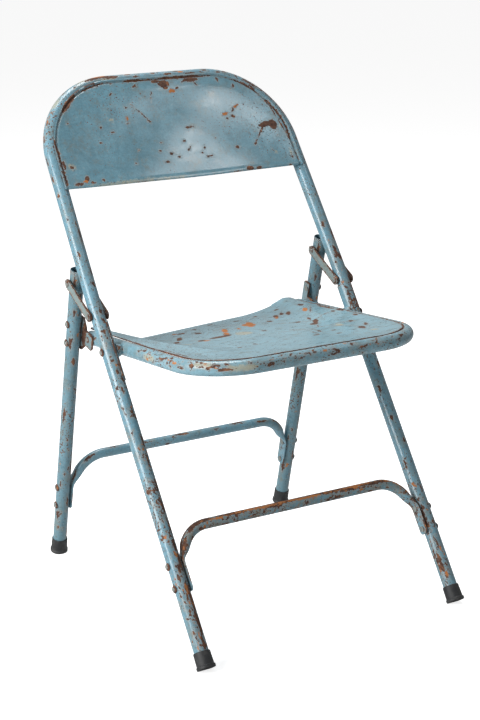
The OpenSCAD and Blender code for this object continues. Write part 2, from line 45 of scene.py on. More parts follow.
tube_r = 0.01105
tube_wall = 0.0012
path_step = 0.004    # between the rings of a tube
foot_gap = 0.005     # the tubes stop this far up inside their rubber feet
leg_x = 0.221
front_foot = np.array([0, -0.27664, 0.005266])
lean_up = np.array([0, 0.5920, 0.8059])
lean_front = np.array([0, -0.8059, 0.5920])

BROWN, ORANGE, CREAM = 0, 1, 2
wear_reach = 8.0     # wear is kept as mm inside a patch, up to this far in or out
sharp_edge = math.radians(50)

paint_blue = (0.165, 0.325, 0.405)
rust_dark = (0.060, 0.026, 0.018)
rust_brown = (0.140, 0.066, 0.038)
rust_orange = (0.520, 0.180, 0.050)
old_cream = (0.560, 0.440, 0.230)
paint_thickness = 0.00012
paint_ior = 1.5


def plane_of(origin, up, front):
    """Gives a function that places points on a tilted plane: the origin plus x across,
    s times up and out times front."""
    def place(x, s, out):
        x, s, out = np.broadcast_arrays(x, s, out)
        return (origin + s[..., None] * up + out[..., None] * front
                + x[..., None] * np.array([1.0, 0, 0]))
    return place


in_back_plane = plane_of(front_foot, lean_up, lean_front)


def bend(cx, cy, r, start, end, step=path_step):
    """Arc about (cx, cy): centre plus r times (cos, sin) of angles from start to end."""
    n = max(3, int(abs(math.radians(end - start)) * r / step))
    a = np.radians(np.linspace(start, end, n))
    return np.stack([cx + r * np.cos(a), cy + r * np.sin(a)], 1)


def straight(a, b, step=path_step):
    """Points evenly from a to b, ends included."""
    n = max(2, int(np.hypot(*(np.subtract(b, a))) / step))
    t = np.linspace(0, 1, n)[:, None]
    return np.asarray(a) * (1 - t) + np.asarray(b) * t


def joined(*runs):
    """Runs one after another, with the point that two runs share kept once."""
    return np.concatenate([runs[0]] + [r[1:] for r in runs[1:]])


def travelled(path):
    """Length along the path at each point, from its first point."""
    step = np.linalg.norm(np.diff(path, axis=0), axis=1)
    return np.concatenate([[0], np.cumsum(step)])


def left_of(path):
    """Unit vector at each point of a flat path, a quarter turn left of the way it runs."""
    way = np.gradient(path, axis=0)
    way /= np.linalg.norm(way, axis=1)[:, None]
    return np.stack([-way[:, 1], way[:, 0]], 1)


def tube_grid(path, r, turns):
    """Ring of angles at every point of a flat path: the point plus r times cos of the
    angle towards the front and r times sin of it towards the path's left."""
    a = np.radians(turns)[None, :]
    flat = path[:, None, :] + left_of(path)[:, None, :] * (r * np.sin(a))[..., None]
    return flat[..., 0], flat[..., 1], np.broadcast_to(r * np.cos(a), flat.shape[:2])


def grid_faces(rows, cols, around=False, back_to_start=False):
    """Squares between neighbouring rows and columns, closed round either way if asked."""
    i = np.arange(rows if back_to_start else rows - 1)
    j = np.arange(cols if around else cols - 1)
    i, j = [m.ravel() for m in np.meshgrid(i, j, indexing="ij")]
    i2, j2 = (i + 1) % rows, (j + 1) % cols
    return np.stack([i * cols + j, i2 * cols + j, i2 * cols + j2, i * cols + j2], 1)


def outward(points, faces):
    """The faces, turned over if the volume they hold comes out below nought."""
    p = points[faces]
    tri = np.concatenate([p[:, [0, 1, 2]], p[:, [0, 2, 3]]])
    volume = np.einsum("ij,ij->i", tri[:, 0], np.cross(tri[:, 1], tri[:, 2])).sum()
    return faces if volume > 0 else faces[:, ::-1]


def new_object(name, data):
    """Adds an object to the scene."""
    made = bpy.data.objects.new(name, data)
    bpy.context.scene.collection.objects.link(made)
    return made


def make_piece(name, body, stands_for, points, faces, wear, along=None, caps=()):
    """Puts points and faces in a smooth mesh that rides on a body and stands for nodes.
    wear and along are kept at each point, for the paint. caps are triangles that close
    the ends and turn over with the faces."""
    shown = outward(points, faces)
    ends = [cap if shown is faces else cap[::-1] for cap in np.array(caps, int).tolist()]
    mesh = bpy.data.meshes.new(name)
    mesh.from_pydata(points.tolist(), [], shown.tolist() + ends)
    for label, values in (("wear", wear), ("along", along)):
        if values is not None:
            kept = mesh.attributes.new(label, "FLOAT_VECTOR", "POINT")
            kept.data.foreach_set("vector", np.asarray(values, np.float32).ravel())
    mesh.shade_smooth()
    mesh.set_sharp_from_angle(angle=sharp_edge)
    piece = new_object(name, mesh)
    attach(piece, body)
    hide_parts(*stands_for)
    return piece


def spot(u, v, at_u, at_v, long, wide, turn=0.0):
    """How far inside an oval patch each point lies, in mm, below nought outside. The oval
    is long by wide, centred at (at_u, at_v) and turned by turn degrees."""
    c, s = math.cos(math.radians(turn)), math.sin(math.radians(turn))
    p = ((u - at_u) * c + (v - at_v) * s) / (long / 2)
    q = ((v - at_v) * c - (u - at_u) * s) / (wide / 2)
    k = np.hypot(p, q)
    slope = np.hypot(p / (long / 2), q / (wide / 2)) + 1e-6
    return np.clip(k * (1 - k) / slope + 1e-3 * (k < 1e-3), -wear_reach, wear_reach)


def stroke(u, v, u0, v0, u1, v1, wide):
    """How far inside a straight stroke each point lies, in mm, below nought outside."""
    du, dv = u1 - u0, v1 - v0
    t = np.clip(((u - u0) * du + (v - v0) * dv) / (du * du + dv * dv), 0, 1)
    off = np.hypot(u - u0 - t * du, v - v0 - t * dv)
    return np.clip(wide / 2 - off, -wear_reach, wear_reach)


def marked(kind, *places):
    """Gives every place, which holds the numbers of a spot or a stroke, one kind of wear."""
    return [(kind, *place) for place in places]


def sprinkled(seed, count, first, last, middle, spread):
    """Small torn marks scattered from first to last along a tube, bunched round a line
    at middle: one in orange_every is orange and the rest brown. All in mm."""
    orange_every, long_to_wide = 8, 2.2
    dice = np.random.default_rng(seed)
    along = dice.uniform(first, last, count)
    across = dice.normal(middle, spread, count)
    size = dice.uniform(0.8, 3.0, count)
    return [(BROWN if n % orange_every else ORANGE, u, v, wide * long_to_wide, wide)
            for n, (u, v, wide) in enumerate(zip(along, across, size))]


def worn_places(u, v, spots=(), strokes=()):
    """Deepest of all the patches at each point, for (brown, orange, cream) in turn.
    A patch is (kind, ...) with the numbers that spot or stroke takes."""
    out = np.full(u.shape + (3,), -wear_reach)
    for kind, *numbers in spots:
        out[..., kind] = np.maximum(out[..., kind], spot(u, v, *numbers))
    for kind, *numbers in strokes:
        out[..., kind] = np.maximum(out[..., kind], stroke(u, v, *numbers))
    return out


def tube_piece(name, body, stands_for, path, place, r, wall, spots=(), strokes=()):
    """Hollow tube along a flat path: an outer skin one way and an inner skin back, joined
    at both mouths. Patches are placed by mm along it and mm round it from the front."""
    ring_step, inner_skip = 10.0, 6
    turns = np.arange(0, 360, ring_step)
    outer = tube_grid(path, r, turns)
    coarse = path[::-1][np.r_[0:len(path) - 1:inner_skip, len(path) - 1]][::-1]
    inner = [m[::-1] for m in tube_grid(coarse, r - wall, turns)]
    x, s, front = [np.concatenate([a, b]) for a, b in zip(outer, inner)]
    length = np.concatenate([travelled(path), travelled(coarse)[::-1]])
    faces = grid_faces(len(length), len(turns), around=True, back_to_start=True)
    round_mm = np.where(turns > 180, turns - 360, turns) * math.pi / 180 * r * 1000
    u, v = np.meshgrid(length * 1000, round_mm, indexing="ij")
    wear = worn_places(u, v, spots, strokes)
    wear[len(path):] = -wear_reach
    a = np.radians(turns)[None, :]
    along = np.stack(np.broadcast_arrays(length[:, None], r * np.cos(a), r * np.sin(a)), -1)
    points = place(x, s, front)
    return make_piece(name, body, stands_for, points.reshape(-1, 3), faces,
                      wear.reshape(-1, 3), along.reshape(-1, 3))


def node(tree, kind, links=None, **settings):
    """Adds a shader node, sets its properties, and plugs in values or other sockets."""
    made = tree.nodes.new(kind)
    for key, value in settings.items():
        setattr(made, key, value)
    for key, value in (links or {}).items():
        if isinstance(value, bpy.types.NodeSocket):
            tree.links.new(value, made.inputs[key])
        else:
            made.inputs[key].default_value = value
    return made


def maths(operation):
    """Gives a function that adds one sum of up to three numbers or sockets to a tree."""
    def add(tree, a, b=0.0, c=0.0):
        return node(tree, "ShaderNodeMath", {0: a, 1: b, 2: c}, operation=operation).outputs[0]
    return add


times, plus, minus = maths("MULTIPLY"), maths("ADD"), maths("SUBTRACT")
times_plus, most, above = maths("MULTIPLY_ADD"), maths("MAXIMUM"), maths("GREATER_THAN")
absolute, root = maths("ABSOLUTE"), maths("SQRT")


def ramped(tree, value, low, high, to_low=0.0, to_high=1.0):
    """Smooth step of a value between low and high."""
    return node(tree, "ShaderNodeMapRange",
                {"Value": value, "From Min": low, "From Max": high,
                 "To Min": to_low, "To Max": to_high},
                interpolation_type="SMOOTHSTEP").outputs["Result"]


def mottle(tree, at, scale, detail=3.0, rough=0.55, distortion=0.0):
    """Noise from 0 to 1 at so many lumps a metre."""
    return node(tree, "ShaderNodeTexNoise",
                {"Vector": at, "Scale": scale, "Detail": detail, "Roughness": rough,
                 "Distortion": distortion}).outputs["Fac"]


def blended(tree, amount, a, b, how="MIX"):
    """Colour a covered by colour b."""
    mixed = node(tree, "ShaderNodeMix", data_type="RGBA", blend_type=how)
    for at, value in ((0, amount), (6, a), (7, b)):
        if isinstance(value, bpy.types.NodeSocket):
            tree.links.new(value, mixed.inputs[at])
        else:
            mixed.inputs[at].default_value = value if at == 0 else (*value, 1.0)
    return mixed.outputs[2]


def group(name, inputs, outputs):
    """Empty shader group with named sockets; returns it with its input and output nodes."""
    tree = bpy.data.node_groups.new(name, "ShaderNodeTree")
    for label, kind, default in inputs:
        made = tree.interface.new_socket(label, in_out="INPUT", socket_type=kind)
        if default is not None:
            made.default_value = default
    for label, kind in outputs:
        tree.interface.new_socket(label, in_out="OUTPUT", socket_type=kind)
    return tree, tree.nodes.new("NodeGroupInput"), tree.nodes.new("NodeGroupOutput")


def old_paint_group():
    """Old brushed paint that flakes off rusty steel. Wear holds patches listed in mm
    as (brown, orange, cream); noise tears their edges and adds chips, specks and stains."""
    tree, given, out = group(
        "old_paint",
        [("At", "NodeSocketVector", None), ("Wear", "NodeSocketVector", None),
         ("Paint", "NodeSocketColor", (*paint_blue, 1.0)),
         ("Chips", "NodeSocketFloat", 0.5), ("Specks", "NodeSocketFloat", 0.5),
         ("Stain", "NodeSocketFloat", 0.5), ("Ragged", "NodeSocketFloat", 1.0),
         ("Dull", "NodeSocketFloat", 1.0)],
        [("Color", "NodeSocketColor"), ("Roughness", "NodeSocketFloat"),
         ("Height", "NodeSocketFloat")])
    at = given.outputs["At"]
    wear = node(tree, "ShaderNodeSeparateXYZ", {0: given.outputs["Wear"]})
    broad = mottle(tree, at, 9.0, 3.0)
    lumps = mottle(tree, at, 60.0, 6.0, 0.68, 0.5)
    fine = mottle(tree, at, 300.0, 5.0, 0.70, 0.4)
    dots = mottle(tree, at, 420.0, 1.5, 0.5)
    grain = mottle(tree, at, 1100.0, 2.0)
    tear = times_plus(tree, minus(tree, fine, 0.5), 11.0,
                      times(tree, minus(tree, lumps, 0.5), 9.0))
    tear = times(tree, tear, given.outputs["Ragged"])
    placed = plus(tree, wear.outputs[0], tear)
    placed_orange = plus(tree, wear.outputs[1], tear)
    placed_cream = plus(tree, wear.outputs[2], times(tree, tear, 1.6))

    # chips are torn lumps, thicker where the paint is worn; specks are dots everywhere
    worn_area = ramped(tree, broad, 0.40, 0.66)
    chip = times_plus(tree, fine, 0.42, times(tree, lumps, 0.58))
    allowed = times(tree, given.outputs["Chips"], times_plus(tree, worn_area, 0.075, 0.025))
    chip = plus(tree, minus(tree, chip, 0.692), allowed)
    speck = plus(tree, minus(tree, dots, 0.775),
                 times(tree, given.outputs["Specks"], times_plus(tree, worn_area, 0.07, 0.05)))
    bare = most(tree, ramped(tree, placed, -0.3, 0.3),
                most(tree, ramped(tree, chip, 0.0, 0.008), ramped(tree, speck, 0.0, 0.035)))
    orange = ramped(tree, placed_orange, -0.4, 0.5)

    # a rusty halo spreads past the bare steel, and a painted highlight lightens the paint
    # along the torn edges of chips and patches, as if their raised rims caught the light
    halo = most(tree, ramped(tree, placed, -4.2, 0.4), ramped(tree, placed_orange, -3.2, 0.4))
    halo = most(tree, halo, ramped(tree, chip, -0.055, 0.008))
    halo = most(tree, halo, ramped(tree, speck, -0.06, 0.03))
    halo = times(tree, halo, times(tree, given.outputs["Stain"],
                                   ramped(tree, fine, 0.34, 0.66, 0.25, 1.0)))
    paint_edge_highlight = most(tree, ramped(tree, placed, -1.5, -0.5), ramped(tree, chip, -0.014, -0.004))

    # uneven coats of paint, faded in places and dirty in others
    tone = ramped(tree, broad, 0.3, 0.7, 0.88, 1.10)
    tone = times(tree, tone, ramped(tree, lumps, 0.25, 0.75, 0.86, 1.12))
    tone = times(tree, tone, ramped(tree, fine, 0.2, 0.8, 0.84, 1.14))
    tone = times(tree, tone, ramped(tree, grain, 0.2, 0.8, 0.92, 1.07))
    shade = node(tree, "ShaderNodeCombineColor", {0: tone, 1: tone, 2: tone}).outputs[0]
    paint = blended(tree, 1.0, given.outputs["Paint"], shade, "MULTIPLY")
    dirt = ramped(tree, mottle(tree, at, 50.0, 8.0, 0.80), 0.47, 0.68)
    dirt = times(tree, dirt, times(tree, given.outputs["Stain"], 0.62))
    paint = blended(tree, dirt, paint, (0.175, 0.185, 0.150))
    cream = times(tree, ramped(tree, placed_cream, -3.5, 2.0), 0.50)
    paint = blended(tree, cream, paint, old_cream)
    paint = blended(tree, times(tree, halo, 0.55), paint, (0.230, 0.170, 0.105))
    # painted highlight: paler blue along the torn edges of the paint
    paint = blended(tree, times(tree, paint_edge_highlight, 0.28), paint, (0.46, 0.58, 0.62))

    # rust runs from near black through brown to orange blooms
    mix = mottle(tree, at, 170.0, 5.0, 0.7, 0.6)
    rust = blended(tree, ramped(tree, mix, 0.36, 0.62), rust_dark, rust_brown)
    rust = blended(tree, ramped(tree, mottle(tree, at, 85.0, 4.0, 0.65), 0.56, 0.70), rust,
                   (0.30, 0.125, 0.055))
    ochre = blended(tree, ramped(tree, mix, 0.4, 0.65), rust_orange, (0.36, 0.15, 0.055))
    color = blended(tree, bare, paint, rust)
    color = blended(tree, orange, color, ochre)
    tree.links.new(color, out.inputs["Color"])

    any_bare = most(tree, bare, orange)
    gloss = ramped(tree, lumps, 0.3, 0.7, 0.20, 0.32)
    gloss = times_plus(tree, fine, 0.10, gloss)
    gloss = times_plus(tree, halo, 0.20, gloss)
    gloss = times(tree, gloss, given.outputs["Dull"])
    rough = node(tree, "ShaderNodeMix", {0: any_bare, 2: gloss, 3: 0.88}, data_type="FLOAT")
    tree.links.new(rough.outputs[0], out.inputs["Roughness"])
    height = times_plus(tree, any_bare, -1.0, times(tree, mottle(tree, at, 26.0, 2.0), 0.6))
    height = times_plus(tree, times(tree, grain, any_bare), 0.9, height)
    height = times_plus(tree, mottle(tree, at, 240.0, 1.5), 0.22, height)
    tree.links.new(height, out.inputs["Height"])
    return tree


old_paint = old_paint_group()


def new_material(name):
    """New material, with its node tree and its main shader."""
    made = bpy.data.materials.new(name)
    made.use_nodes = True
    return made, made.node_tree, made.node_tree.nodes["Principled BSDF"]


def painted(name, chips=0.5, specks=0.5, stain=0.5, ragged=1.0, paint=paint_blue,
            at="along", edges=None, stretch=(1.0, 1.0, 1.0), dull=1.0):
    """Flaking blue paint over steel, laid on Object coordinates or on the piece's own
    along coordinates. edges(tree, Object coordinates) gives how far a point lies inside
    the worn edge, in mm; without it the piece's own wear is used."""
    made, tree, shader = new_material(name)
    coords = node(tree, "ShaderNodeTexCoord").outputs["Object"]
    if at == "along":
        place = node(tree, "ShaderNodeAttribute", attribute_name="along").outputs["Vector"]
        place = node(tree, "ShaderNodeMapping", {"Vector": place, "Scale": stretch}).outputs[0]
    else:
        place = coords
    coat = node(tree, "ShaderNodeGroup", node_tree=old_paint)
    tree.links.new(place, coat.inputs["At"])
    if edges:
        marks = node(tree, "ShaderNodeCombineXYZ", {0: edges(tree, coords), 1: -wear_reach,
                                                      2: -wear_reach})
        tree.links.new(marks.outputs[0], coat.inputs["Wear"])
    else:
        marks = node(tree, "ShaderNodeAttribute", attribute_name="wear").outputs["Vector"]
        tree.links.new(marks, coat.inputs["Wear"])
    coat.inputs["Paint"].default_value = (*paint, 1.0)
    for label, value in (("Chips", chips), ("Specks", specks), ("Stain", stain),
                         ("Ragged", ragged), ("Dull", dull)):
        coat.inputs[label].default_value = value
    bump = node(tree, "ShaderNodeBump", {"Height": coat.outputs["Height"], "Strength": 0.9,
                                         "Distance": paint_thickness})
    tree.links.new(coat.outputs["Color"], shader.inputs["Base Color"])
    tree.links.new(coat.outputs["Roughness"], shader.inputs["Roughness"])
    tree.links.new(bump.outputs[0], shader.inputs["Normal"])
    shader.inputs["IOR"].default_value = paint_ior
    return made


def finish_with(piece, material):
    """Puts one material on every slot of a piece."""
    if not piece.data.materials:
        piece.data.materials.append(material)
    for held in piece.material_slots:
        held.material = material


def finish_nodes(material, *names):
    """Puts one material on CAD nodes. A name that ends in _ stands for left and right."""
    for name in names:
        for side in ("left", "right") if name.endswith("_") else ("",):
            finish_with(nodes[name + side], material)


taper_turn = 1.4
taper = math.radians(taper_turn)
kink_s = 0.572
arch_x, arch_s, arch_r = 0.08528, 0.8045, 0.130
shoulder = (arch_x + arch_r * math.cos(taper), arch_s + arch_r * math.sin(taper))
frame_path = joined(
    straight((-leg_x, foot_gap), (-leg_x, kink_s)),
    straight((-leg_x, kink_s), (-shoulder[0], shoulder[1])),
    bend(-arch_x, arch_s, arch_r, 180 - taper_turn, 90),
    straight((-arch_x, arch_s + arch_r), (arch_x, arch_s + arch_r)),
    bend(arch_x, arch_s, arch_r, 90, taper_turn),
    straight(shoulder, (leg_x, kink_s)),
    straight((leg_x, kink_s), (leg_x, foot_gap)))
frame_len = travelled(frame_path)[-1] * 1000

# mm along from the left foot, mm round from the front, outwards counted up
frame_spots = marked(
    BROWN,
    (30, -2, 22, 6), (58, -5, 34, 7), (96, -6, 40, 6), (128, 4, 9, 4), (150, -6, 26, 6),
    (176, -4, 18, 6), (205, -7, 24, 5), (236, -5, 28, 5), (268, -6, 20, 4), (262, 12, 8, 4),
    (300, -4, 12, 4), (338, -6, 20, 4), (352, 8, 6, 3), (384, -3, 14, 4), (420, 2, 10, 4),
    (424, 9, 6, 3), (436, -4, 14, 4), (447, 1, 8, 5), (466, 3, 6, 4), (458, -4, 6, 4),
    (492, 5, 6, 4), (500, 1, 5, 4), (512, 2, 6, 3), (506, 8, 5, 3), (530, -2, 6, 3),
    (545, -2, 7, 5), (590, -4, 8, 4), (612, -6, 12, 3), (640, 6, 10, 4), (668, -5, 26, 4),
    (690, -3, 10, 3), (700, 8, 6, 3), (742, 12, 8, 4), (772, 15, 12, 3), (800, 16, 14, 3),
    (838, 15, 12, 4), (862, 12, 14, 3), (925, 12, 14, 4), (945, 6, 12, 3), (984, 7, 42, 9),
    (1010, 4, 26, 7), (1040, 8, 12, 4), (1052, 1, 8, 4), (1086, 6, 9, 3), (1112, 2, 14, 5),
    (1128, 7, 10, 4), (1152, 0, 18, 5), (1180, 5, 12, 5), (1204, 2, 8, 4), (1216, 6, 10, 3),
    (1262, 3, 24, 4), (1290, 6, 30, 4), (1330, 8, 26, 4), (1372, 9, 34, 4), (1420, 7, 16, 4),
    (1450, 9, 30, 3), (1480, 8, 12, 5), (1540, -6, 12, 5), (1560, 6, 22, 6),
    (1590, -2, 20, 4), (1600, 4, 12, 4), (1640, 7, 20, 5), (1668, 8, 40, 7), (1700, 9, 30, 6),
    (1735, -2, 10, 4), (1790, 4, 12, 4), (1830, -9, 14, 4), (1880, -6, 10, 4),
    (1920, 2, 8, 3), (1960, -10, 16, 4), (2000, 2, 10, 4), (2050, -10, 28, 6),
    (2090, -4, 12, 4), (2120, -9, 32, 6))
frame_spots += marked(
    ORANGE,
    (44, 1, 12, 3), (112, -2, 12, 4), (190, 5, 7, 3), (392, -5, 8, 3), (484, -1, 7, 4),
    (990, 11, 26, 7), (1136, 4, 10, 4), (2140, -6, 9, 4), (2108, 1, 7, 3))
frame_spots += marked(CREAM, (900, 12, 20, 6), (968, 12, 34, 10), (1004, 0, 24, 8))
frame_spots += sprinkled(3, 120, 14, 150, -1, 7) + sprinkled(4, 100, 150, 330, -3, 6)
frame_spots += sprinkled(5, 70, 330, 560, 0, 8) + sprinkled(6, 50, 1560, 1760, 4, 8)
frame_spots += sprinkled(7, 90, 1990, frame_len - 14, -6, 6)
frame_strokes = marked(
    BROWN,
    (22, -12, 150, -13, 2.4), (160, -12, 250, -12, 1.8), (440, -10, 540, -11, 2.2),
    (1050, -9, 1110, -8, 3), (1130, -9, 1220, -8, 2.5), (1258, 4, 1340, 6, 1.6),
    (1640, -9, 1745, -10, 2.2), (2020, -14, frame_len - 20, -14, 2.2))
main_tube = tube_piece("main_frame_tube", "main_frame", ["back_frame"],
                       frame_path, in_back_plane, tube_r, tube_wall,
                       frame_spots, frame_strokes)
finish_with(main_tube, painted("main_tube_paint", chips=1.4, specks=1.8, stain=1.1,
                               ragged=0.8, dull=0.85, stretch=(0.75, 1.0, 1.0)))

# ------------------------------------------------------------------ Back panel
# One sheet of 1 mm steel pressed to the shape of the arch and welded on the front of
# the tube. Its lower edge is rolled, and its rim is set down in a groove that has
# filled with rust.

panel_low = 0.7525
panel_edge = 0.0015
panel_face = tube_r + 0.0012
panel_t = 0.0010


def panel_half(s):
    """Half width of the panel at height s: the leg's line, then the arch, less its edge."""
    on_leg = leg_x - (s - kink_s) * math.tan(taper) - panel_edge
    r = arch_r - panel_edge
    on_arch = arch_x + np.sqrt(np.maximum(r * r - (s - arch_s) ** 2, 0))
    return np.where(s < shoulder[1], on_leg, on_arch)


def panel_grid(cols, rows):
    """Across by up: x is a share of the half width, and heights close up towards the top
    so that the rounded shoulders keep their shape."""
    t = np.linspace(0, 1, rows)
    top = arch_s + arch_r - panel_edge
    s = panel_low + (top - panel_low) * np.sin(t * math.pi / 2) ** 0.9
    u = np.linspace(-1, 1, cols)
    u = u * (1.5 - 0.5 * u * u) * 0.35 + u * 0.65
    return np.meshgrid(s, u, indexing="ij")


s_grid, u_grid = panel_grid(255, 120)
x_grid = u_grid * panel_half(s_grid)
side_gap = (panel_half(s_grid) - np.abs(x_grid)) * 1000
arch_gap = (arch_r - panel_edge) * 1000 - np.hypot(
    np.maximum(np.abs(x_grid) - arch_x, 0), np.maximum(s_grid - arch_s, 0)) * 1000
rim_gap = np.where(s_grid > arch_s, arch_gap, side_gap)
sag = 0.0022 * (1 - (x_grid / 0.215) ** 2) * np.clip(1 - (s_grid - panel_low) / 0.03, 0, 1)
s_bowed = s_grid - sag

# the rim steps down into a groove 5 mm in and comes up again to the plain sheet
groove_in, lip_in, step_width = 5.2, 1.8, 1.5
groove = np.exp(-((rim_gap - groove_in) / step_width) ** 2) * 0.0016
lip = np.exp(-((rim_gap - lip_in) / step_width) ** 2) * 0.0007
crown = 0.0030 * np.clip(rim_gap / 60, 0, 1) ** 0.5 * np.sin(
    np.clip((s_grid - panel_low) / 0.16, 0, 1) * math.pi)
dents = 0.0006 * np.sin(x_grid * 31 + 1.0) * np.sin(s_grid * 47) * np.clip(rim_gap / 25, 0, 1)
face = panel_face - groove + lip - crown * 0.5 + dents

# half circles front and back over the lowest 4 mm make the rolled edge
roll_height = 0.0040
roll = np.clip(1 - (s_grid - panel_low) / roll_height, 0, 1)
bulge = np.sqrt(np.clip(1 - (2 * roll - 1) ** 2, 0, 1)) * (roll > 0)
face = face + 0.0014 * bulge
back = face - panel_t - 0.0024 * bulge
xs, ss = x_grid * 1000, s_grid * 1000

# mm across from the middle, mm up the line of the legs from the foot
panel_spots = marked(
    BROWN,
    (-40, 928, 44, 5), (35, 928, 80, 5), (8, 919, 20, 13), (10, 912, 9, 8), (-5, 924, 16, 7),
    (30, 909, 8, 3, 30), (60, 922, 26, 8), (66, 914, 9, 4, -50), (-45, 918, 8, 4, 30),
    (-172, 892, 26, 9, 48), (-160, 905, 20, 8, 42), (-146, 919, 20, 5, 32),
    (-122, 927, 24, 5, 12), (-178, 863, 5, 4), (-76, 855, 6, 4), (-124, 851, 4, 5),
    (-132, 825, 4, 3), (-70, 882, 5, 3), (-37, 855, 8, 4, -30), (-193, 788, 7, 6),
    (-190, 759, 15, 6), (-174, 767, 10, 6, 60), (-166, 760, 9, 4), (-148, 762, 7, 5),
    (30, 838, 16, 3.5, 6), (-35, 801, 4, 3), (-16, 795, 7, 4), (-5, 788, 5, 3),
    (50, 784, 10, 2.5), (44, 800, 5, 2.5), (16, 799, 4, 3), (20, 804, 3, 5), (12, 815, 4, 3),
    (-28, 815, 4, 3), (-72, 806, 5, 3), (-83, 783, 4, 2.5), (38, 791, 4, 2.5),
    (70, 815, 4, 2.5), (104, 795, 9, 6), (116, 851, 7, 5), (119, 862, 7, 3, 50),
    (104, 848, 5, 3), (170, 831, 26, 9, 8), (184, 829, 15, 19), (139, 797, 4, 5),
    (187, 808, 6, 3), (199, 838, 4, 4), (200, 768, 5, 6), (168, 785, 4, 3), (113, 756, 13, 6),
    (130, 755, 11, 6), (190, 752, 8, 4), (206, 808, 5, 20), (-209, 815, 5, 46),
    (-205, 793, 5, 16), (-85, 752, 16, 3), (90, 752, 18, 3), (-90, 907, 6, 3, 40),
    (-84, 926, 6, 4), (108, 919, 4, 8), (134, 905, 3, 8, -20), (-106, 842, 6, 3),
    (-29, 781, 8, 2))
panel_spots += marked(
    ORANGE,
    (20, 905, 12, 7), (-74, 864, 4, 6), (-178, 762, 7, 4), (102, 856, 12, 4, 15),
    (128, 869, 14, 4, 30))
panel_spots += marked(
    CREAM,
    (-102, 863, 4, 3), (-193, 789, 9, 8), (172, 780, 4, 5), (196, 826, 7, 2, 80),
    (200, 775, 9, 2, 80), (-90, 754, 120, 4))
panel_strokes = marked(
    BROWN,
    (-62, 888, -38, 858, 1.4), (163, 825, 139, 797, 2.8), (-18, 905, -24, 888, 0.8),
    (42, 918, 52, 926, 2.0), (128, 900, 134, 908, 1.0), (165, 904, 190, 862, 1.6),
    (190, 862, 206, 800, 2.0), (206, 800, 209, 762, 1.2), (-213, 756, -212, 815, 1.2))
front_wear = worn_places(xs, ss, panel_spots, panel_strokes)
groove_rust = 1.0 - np.abs(rim_gap - groove_in) * 0.9 + 1.2 * np.sin(xs * 0.07) * np.sin(
    ss * 0.045 + 1.3)
groove_rust = np.where(s_grid > panel_low + roll_height, groove_rust - 0.3, -wear_reach)
front_wear[..., BROWN] = np.maximum(front_wear[..., BROWN],
                                    np.clip(groove_rust, -wear_reach, 4))
back_wear = np.full_like(front_wear, -wear_reach)
back_wear[..., BROWN] = np.clip(1.2 - rim_gap * 0.4, -wear_reach, 2)


def two_sided(first, second):
    """Closed sheet from two grids of the same size: both faces and the strip between
    them all round the rim."""
    rows, cols = first.shape[:2]
    index = np.arange(rows * cols).reshape(rows, cols)
    rim = np.concatenate([index[0, :], index[1:, -1], index[-1, -2::-1], index[-2:0:-1, 0]])
    strip = np.stack([rim, np.roll(rim, -1), np.roll(rim, -1) + rows * cols,
                      rim + rows * cols], 1)
    a = grid_faces(rows, cols)
    faces = np.concatenate([a, a[:, ::-1] + rows * cols, strip[:, ::-1]])
    return np.concatenate([first.reshape(-1, 3), second.reshape(-1, 3)]), faces


panel_points, panel_faces = two_sided(in_back_plane(x_grid, s_bowed, face),
                                      in_back_plane(x_grid, s_bowed, back))
panel = make_piece("back_panel_sheet", "main_frame", ["back_panel"],
                   panel_points, panel_faces,
                   np.concatenate([front_wear.reshape(-1, 3), back_wear.reshape(-1, 3)]))
# painted shade: the panel's blue is darker than the frame's same paint, as its face gets less
# light
finish_with(panel, painted("panel_paint_coat", chips=0.6, specks=1.05, stain=0.8,
                           ragged=0.75, at="object", paint=(0.135, 0.290, 0.365), dull=0.6))

# ------------------------------------------------------------------ Seat frame
# U of the same tube, bent flat round the front of the seat and left open at its rear
# ends. It carries the pan and hangs between the hinges on two rivets a side.

seat_axis = np.array([0, 0.012852, 0.399365])
seat_back = np.array([0, 0.99497, -0.10019])
seat_up = np.array([0, 0.10019, 0.99497])
in_seat_plane = plane_of(seat_axis, seat_back, seat_up)

rail_x, rail_end = 0.191, 0.1212
corner_x, corner_y, corner_r = 0.104, -0.155, 0.087
seat_path = joined(
    straight((rail_x, rail_end), (rail_x, corner_y)),
    bend(corner_x, corner_y, corner_r, 0, -90),
    straight((corner_x, corner_y - corner_r), (-corner_x, corner_y - corner_r)),
    bend(-corner_x, corner_y, corner_r, -90, -180),
    straight((-rail_x, corner_y), (-rail_x, rail_end)))

# mm along from the right rail's rear end, mm round from the top, inwards counted down
seat_spots = marked(
    BROWN,
    (60, 6, 11, 5), (130, -4, 12, 5), (180, 6, 18, 5), (250, 8, 8, 4), (340, 12, 6, 4),
    (380, 8, 10, 4), (424, 4, 5, 4), (452, 14, 13, 4), (470, 6, 8, 5), (496, 16, 6, 3),
    (510, 2, 5, 3), (536, 9, 7, 4), (560, 15, 8, 3), (588, 5, 5, 4), (610, 17, 12, 4),
    (640, 8, 5, 3), (672, 17, 16, 4), (690, 14, 7, 3), (704, 6, 5, 4), (716, 12, 5, 6),
    (716, -2, 5, 3), (734, 16, 11, 3), (760, 6, 7, 5), (786, 12, 10, 4), (840, 5, 5, 3),
    (850, 8, 5, 3), (905, 15, 8, 4), (950, 4, 6, 4), (1000, 12, 8, 4))
seat_spots += marked(ORANGE, (300, 2, 12, 5), (446, -4, 14, 4))
seat_spots += marked(CREAM, (650, 16, 40, 7), (700, 10, 26, 8), (820, 16, 30, 6))
seat_spots += sprinkled(21, 130, 420, 860, 13, 5) + sprinkled(22, 60, 60, 420, 6, 9)
# the brown stroke along the rail's inner top is rust and also painted shade of the pan's
# crevice
seat_tube = tube_piece("seat_rail_tube", "seat", ["seat_frame"], seat_path,
                       in_seat_plane, tube_r, tube_wall, seat_spots,
                       [(BROWN, 60, -3.9, 974, -3.9, 3.0)])
